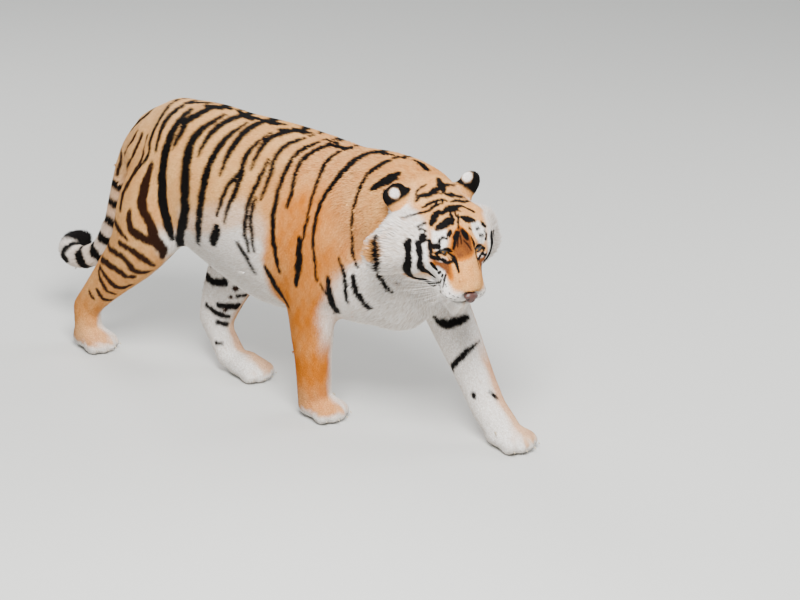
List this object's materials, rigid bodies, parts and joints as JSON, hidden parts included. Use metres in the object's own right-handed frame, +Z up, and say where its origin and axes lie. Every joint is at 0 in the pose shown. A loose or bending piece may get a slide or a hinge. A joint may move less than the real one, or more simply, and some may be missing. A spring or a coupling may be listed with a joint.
{
  "type": "bengal tiger",
  "caption": "Life-size adult tiger as a still model, in mid-stride, with its head low and turned to its right and the tail hanging to a hooked tip.",
  "frame": {"origin": "on the floor under the middle of the tiger's bounding box", "axes": "-Y the way the body faces, +X to the tiger's left, +Z up"},
  "size_m": [0.564, 1.9642, 0.9433],
  "materials": {
    "coat": "short fur, tan-orange with dark stripes and white underparts",
    "ear": "short black fur with a white patch behind",
    "eye": "glossy, amber",
    "nose": "fine-grained, slightly moist",
    "claw": "smooth horn"
  },
  "bodies": {
    "root": {"barrel": "coat", "chest": "coat", "neck": "coat", "head": "coat", "lower_jaw": "coat", "rump": "coat", "tail_base": "coat", "tail_middle": "coat", "tail_tip": "coat", "shoulder_left": "coat", "shoulder_right": "coat", "forearm_left": "coat", "forearm_right": "coat", "thigh_left": "coat", "thigh_right": "coat", "shank_left": "coat", "shank_right": "coat", "hock_left": "coat", "hock_right": "coat", "paw_front_left": "coat", "paw_front_right": "coat", "paw_hind_left": "coat", "paw_hind_right": "coat", "ear_left": "ear", "ear_right": "ear", "eye_left": "eye", "eye_right": "eye", "nose": "nose", "claw_front_left_1": "claw", "claw_front_left_2": "claw", "claw_front_left_3": "claw", "claw_front_left_4": "claw", "claw_front_right_1": "claw", "claw_front_right_2": "claw", "claw_front_right_3": "claw", "claw_front_right_4": "claw", "claw_hind_left_1": "claw", "claw_hind_left_2": "claw", "claw_hind_left_3": "claw", "claw_hind_left_4": "claw", "claw_hind_right_1": "claw", "claw_hind_right_2": "claw", "claw_hind_right_3": "claw", "claw_hind_right_4": "claw", "dewclaw_front_left": "claw", "dewclaw_front_right": "claw"}
  },
  "joints": []
}
